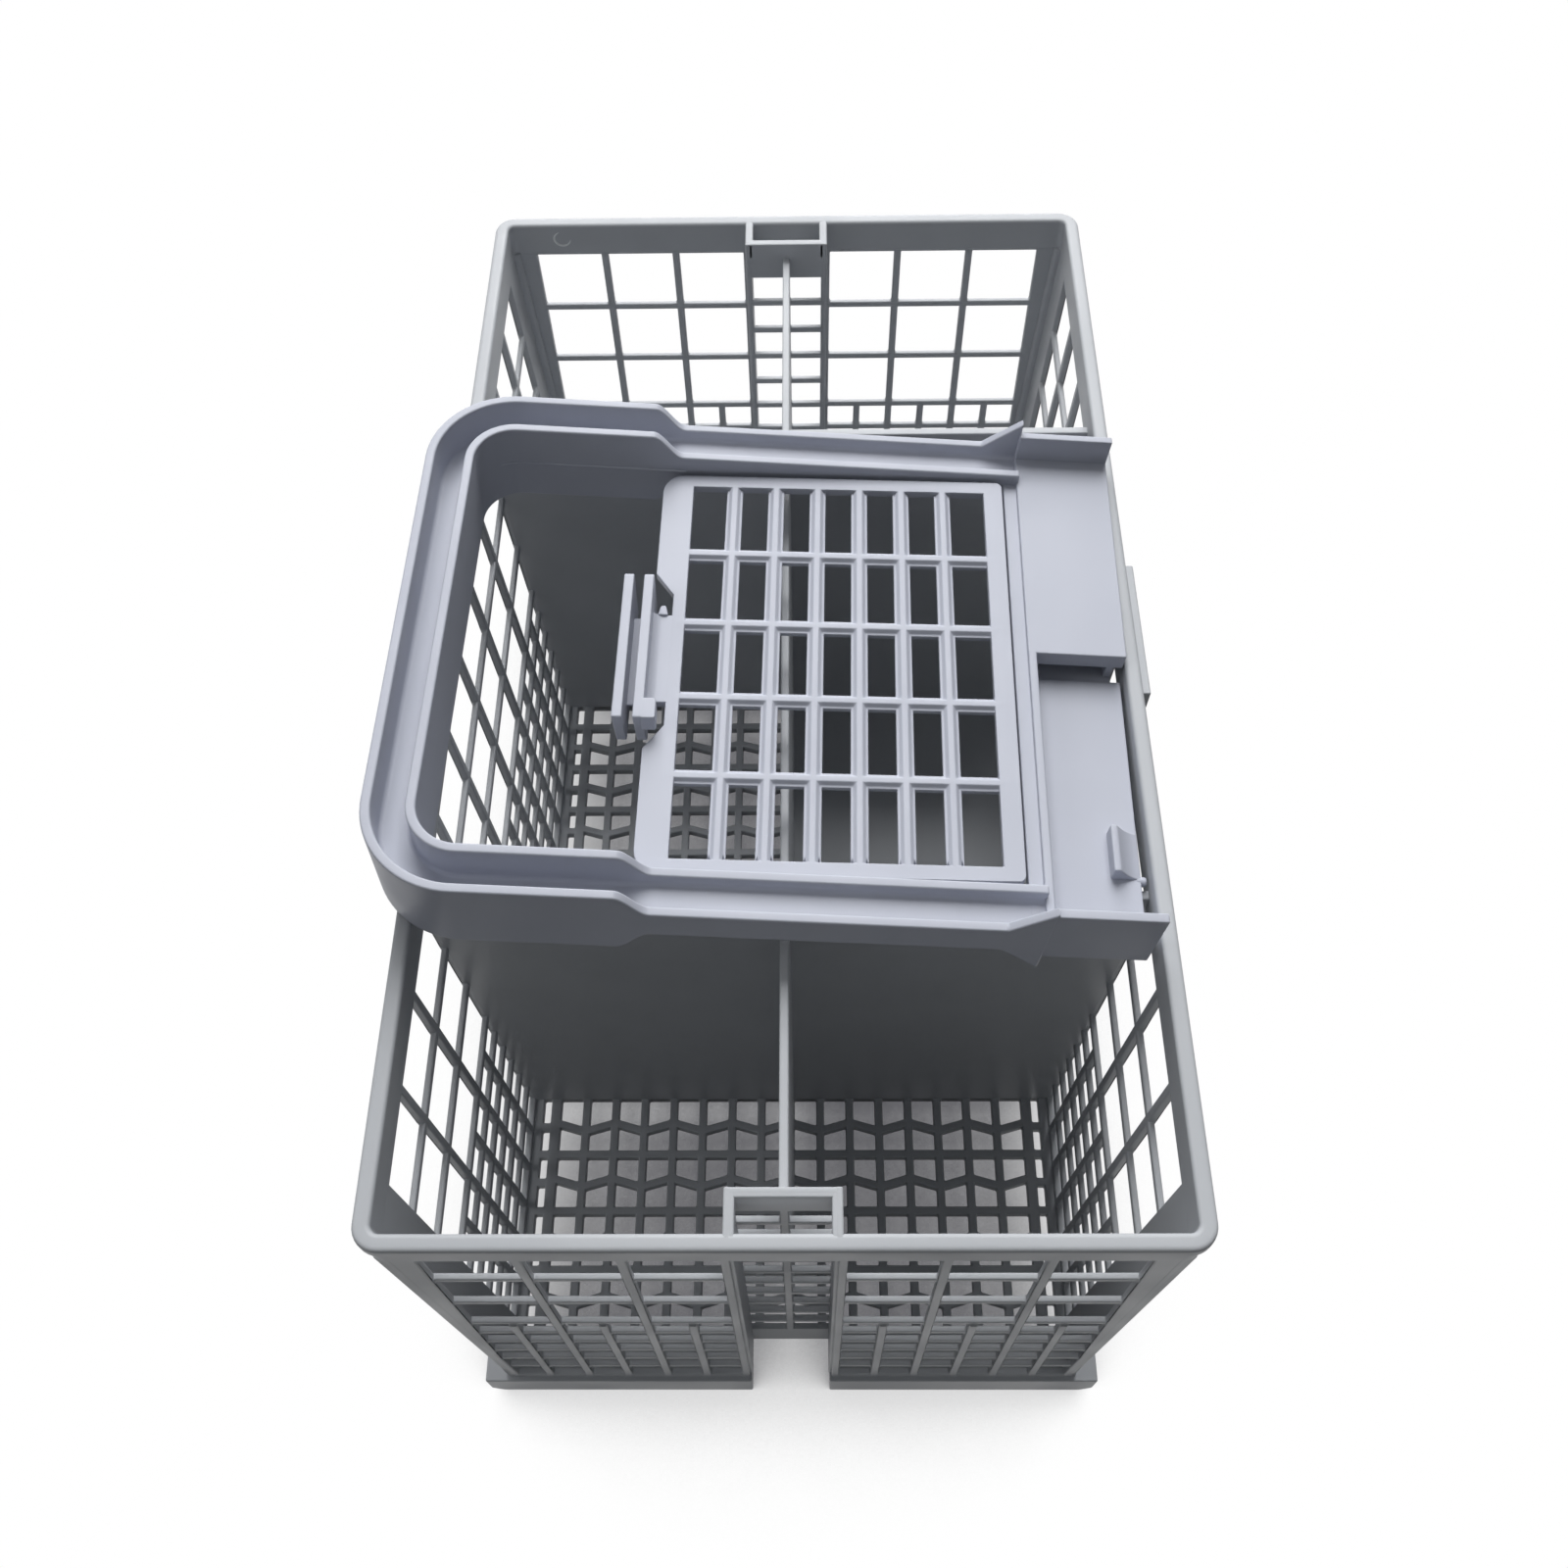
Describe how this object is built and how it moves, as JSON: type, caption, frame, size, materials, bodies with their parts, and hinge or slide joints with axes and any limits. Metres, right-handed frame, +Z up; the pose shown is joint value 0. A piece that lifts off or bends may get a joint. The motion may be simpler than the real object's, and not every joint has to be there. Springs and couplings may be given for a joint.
{
  "type": "dishwasher cutlery basket",
  "caption": "Open lattice cutlery basket for a dishwasher, divided inside, with a loose looped handle lying across it and a hinged grid lid in the handle.",
  "frame": {"origin": "on the floor, midway between the feet", "axes": "+Y along the basket, +X across it towards the handle's plug end, +Z up"},
  "size_m": [0.1419, 0.24, 0.1412],
  "materials": {
    "grey_plastic": "moulded, semi-matt light grey"
  },
  "bodies": {
    "basket": {"basket_body": "grey_plastic", "handle": "grey_plastic"},
    "lid": {"lid": "grey_plastic"}
  },
  "joints": [
    {"name": "lid_hinge", "type": "hinge", "parent": "basket", "child": "lid", "pos_m": [0.03754, -0.01296, 0.1247], "axis": [0.0209, 0.9998, 0], "range_deg": [0, 100]}
  ]
}
